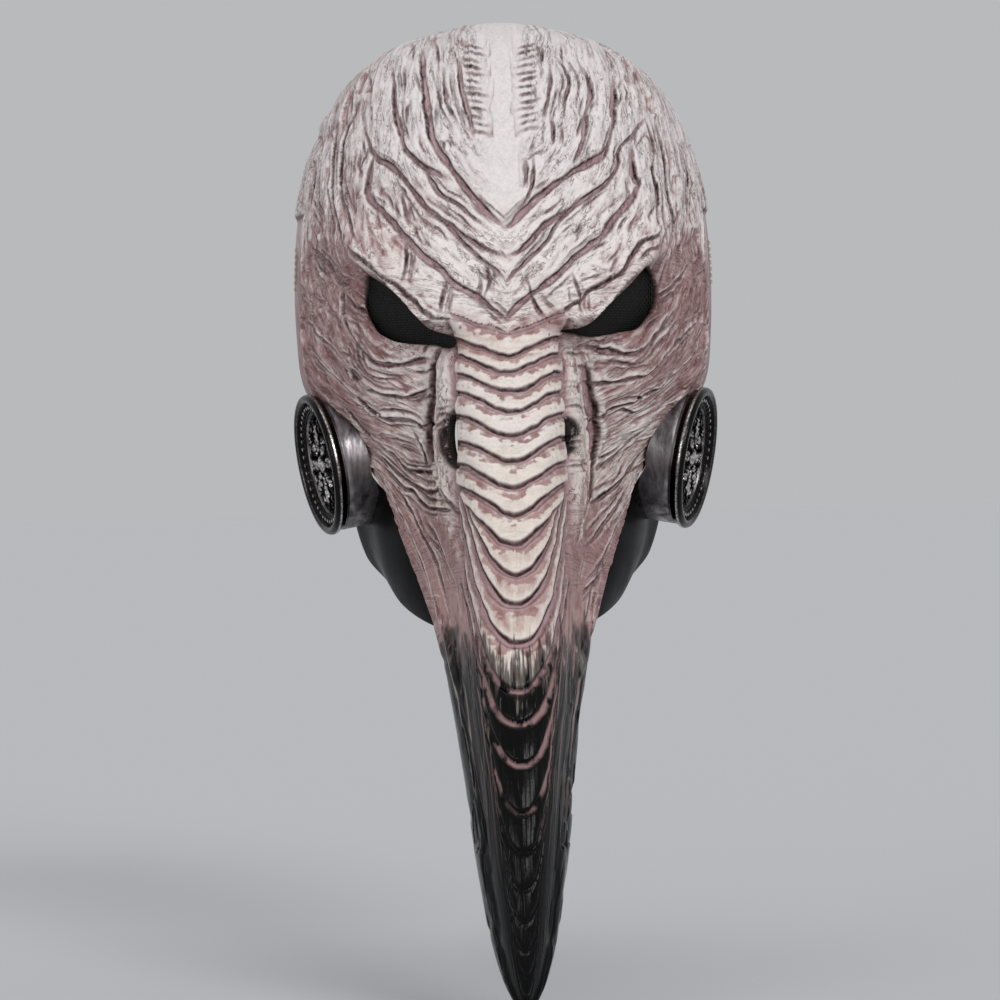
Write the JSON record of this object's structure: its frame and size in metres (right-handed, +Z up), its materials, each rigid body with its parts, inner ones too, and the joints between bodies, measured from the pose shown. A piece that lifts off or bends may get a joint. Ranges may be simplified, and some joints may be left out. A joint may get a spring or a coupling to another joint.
{
  "type": "beaked costume mask",
  "caption": "Half-head costume mask with a long curved beak, mesh-covered eye openings, round side discs, a swinging chin guard and an elastic harness.",
  "frame": {"origin": "centre of the wearer's head, on the line between the ear canals, on the mask's plane of symmetry", "axes": "+Z up the head, the beak points along -Y, +X is to the right as seen from the front of the mask"},
  "size_m": [0.1764, 0.3455, 0.3845],
  "materials": {
    "shell": "aged bone colour, mauve-brown wash in the wrinkles, darkening to gloss black down the beak",
    "black_gloss": "gloss black",
    "guard": "satin black",
    "mesh": "fine black woven mesh",
    "gunmetal": "brushed gunmetal",
    "bezel": "antique silver, polished rim",
    "insert": "dark antiqued relief",
    "steel": "plain",
    "foam": "closed-cell foam with a knitted face",
    "elastic": "woven black elastic",
    "slider": "moulded black",
    "thread": "pale waxed thread"
  },
  "bodies": {
    "mask": {"face_shell": "shell", "beak_underside": "black_gloss", "eye_mesh_left": "mesh", "eye_mesh_right": "mesh", "disc_drum_left": "gunmetal", "disc_drum_right": "gunmetal", "disc_bezel_left": "bezel", "disc_bezel_right": "bezel", "disc_insert_left": "insert", "disc_insert_right": "insert", "disc_screws_left": "steel", "disc_screws_right": "steel", "pivot_pin_left": "steel", "pivot_pin_right": "steel", "forehead_pad": "foam", "temple_pad_left": "foam", "temple_pad_right": "foam", "cheek_pad_left": "foam", "cheek_pad_right": "foam", "head_elastic": "elastic", "crown_elastic": "elastic", "side_stitching_left": "thread", "side_stitching_right": "thread", "crown_stitching": "thread", "back_stitching": "thread"},
    "chin_guard": {"chin_guard": "guard"},
    "slider_left": {"strap_slider_left": "slider"},
    "slider_right": {"strap_slider_right": "slider"}
  },
  "joints": [
    {"name": "chin_guard_swing", "type": "hinge", "parent": "mask", "child": "chin_guard", "pos_m": [0, -0.012, -0.046], "axis": [1, 0, 0], "range_deg": [0, 25]},
    {"name": "slider_left_slide", "type": "slide", "parent": "mask", "child": "slider_left", "axis": [0.0229, 0.9997, 0], "range_m": [-0.01, 0.015]},
    {"name": "slider_right_slide", "type": "slide", "parent": "mask", "child": "slider_right", "axis": [-0.0229, 0.9997, 0], "range_m": [-0.01, 0.015]}
  ]
}
